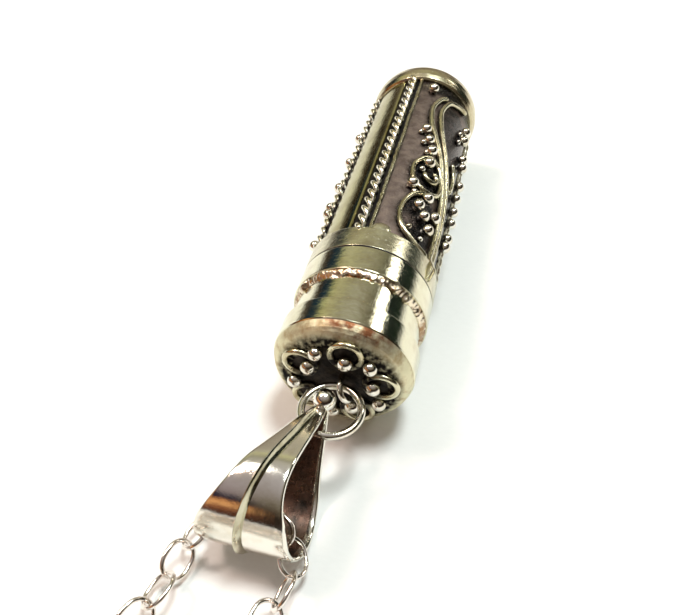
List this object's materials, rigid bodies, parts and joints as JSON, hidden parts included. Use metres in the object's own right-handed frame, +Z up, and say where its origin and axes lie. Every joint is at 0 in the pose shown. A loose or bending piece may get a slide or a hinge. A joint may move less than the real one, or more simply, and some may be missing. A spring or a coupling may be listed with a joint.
{
  "type": "mezuzah case pendant",
  "caption": "Small capped cylindrical scroll case worn as a pendant, with wire and granule ornament, hung by a jump ring and folded bail on a cable chain.",
  "frame": {"origin": "under the middle of the pendant without its chain, on the surface that it lies on", "axes": "+Y along the case from the capped, ringed end to the closed end; +Z up from the surface; +X to the right seen from the capped end"},
  "size_m": [0.0264, 0.0805, 0.0102],
  "materials": {
    "polished_silver": "mirror polish with fine scratches",
    "granule_silver": "polished",
    "wire_silver": "polished on top, dark in the creases",
    "oxidised_silver": "matte oxidised",
    "blackened_silver": "oxidised black with a worn rim",
    "rough_silver": "granular solder",
    "plain_silver": "satin",
    "chain_silver": "bright",
    "parchment": "matte"
  },
  "bodies": {
    "chain": {"chain_coil": "chain_silver", "chain_strand_left": "chain_silver", "chain_strand_right": "chain_silver", "clasp_body": "chain_silver", "clasp_eye": "chain_silver", "clasp_link": "chain_silver"},
    "bail": {"bail_ball": "granule_silver", "bail_ridge": "polished_silver", "bail_strip": "polished_silver"},
    "jump_ring": {"jump_ring": "polished_silver"},
    "cap": {"cap_end_plate": "blackened_silver", "cap_flange": "polished_silver", "cap_neck": "polished_silver", "cap_skirt": "polished_silver", "cap_solder_step": "rough_silver", "end_granules_inner": "granule_silver", "end_granules_outer": "granule_silver", "end_loop_1": "granule_silver", "end_loop_2": "granule_silver", "end_loop_3": "granule_silver", "end_loop_4": "granule_silver", "end_loop_5": "granule_silver", "eyelet": "polished_silver"},
    "case": {"border_wire_1": "wire_silver", "border_wire_2": "wire_silver", "border_wire_3": "wire_silver", "border_wire_4": "wire_silver", "case_tube": "oxidised_silver", "end_disc": "polished_silver", "end_rim": "polished_silver", "leaf_curl_wire_1": "wire_silver", "leaf_curl_wire_2": "wire_silver", "lower_leaf_wire_1": "wire_silver", "lower_leaf_wire_2": "wire_silver", "mouth_collar": "polished_silver", "mouth_sleeve": "plain_silver", "narrow_leaf_wire_1": "wire_silver", "narrow_leaf_wire_2": "wire_silver", "panel_granules_1": "granule_silver", "panel_granules_2": "granule_silver", "plain_strip_1": "polished_silver", "plain_strip_2": "polished_silver", "rope_wire_1": "wire_silver", "rope_wire_2": "wire_silver", "rope_wire_3": "wire_silver", "rope_wire_4": "wire_silver", "scroll_wire_inner_1": "wire_silver", "scroll_wire_inner_2": "wire_silver", "scroll_wire_outer_1": "wire_silver", "scroll_wire_outer_2": "wire_silver", "upper_leaf_wire_1": "wire_silver", "upper_leaf_wire_2": "wire_silver"},
    "roll": {"parchment_roll": "parchment"},
    "clasp_latch": {"clasp_latch": "chain_silver"}
  },
  "joints": [
    {"name": "bail_swing", "type": "hinge", "parent": "chain", "child": "bail", "pos_m": [-0.00209, -0.02062, 0.00235], "axis": [0.9646, -0.2639, 0], "range_deg": [-60, 90]},
    {"name": "ring_in_bail", "type": "hinge", "parent": "bail", "child": "jump_ring", "pos_m": [-0.00057, -0.0151, 0.005], "axis": [0.8561, -0.5168, 0], "range_deg": [-45, 45]},
    {"name": "eyelet_on_ring", "type": "hinge", "parent": "jump_ring", "child": "cap", "pos_m": [0.00095, -0.01148, 0.005], "axis": [0.9676, -0.2525, 0], "range_deg": [-25, 40]},
    {"name": "case_pull", "type": "slide", "parent": "cap", "child": "case", "axis": [0, 1, 0], "range_m": [0, 0.018]},
    {"name": "roll_slide", "type": "slide", "parent": "case", "child": "roll", "axis": [0, -1, 0], "range_m": [0, 0.0126]},
    {"name": "clasp_trigger", "type": "hinge", "parent": "chain", "child": "clasp_latch", "pos_m": [-0.00305, -0.0435, 0.00135], "axis": [0, 0, 1], "range_deg": [0, 40], "stiffness_Nm_per_rad": 0.0005, "springref_deg": -11.46}
  ],
  "couplings": [
    {"joint": "roll_slide", "follows": "case_pull", "ratio": 0.7}
  ]
}
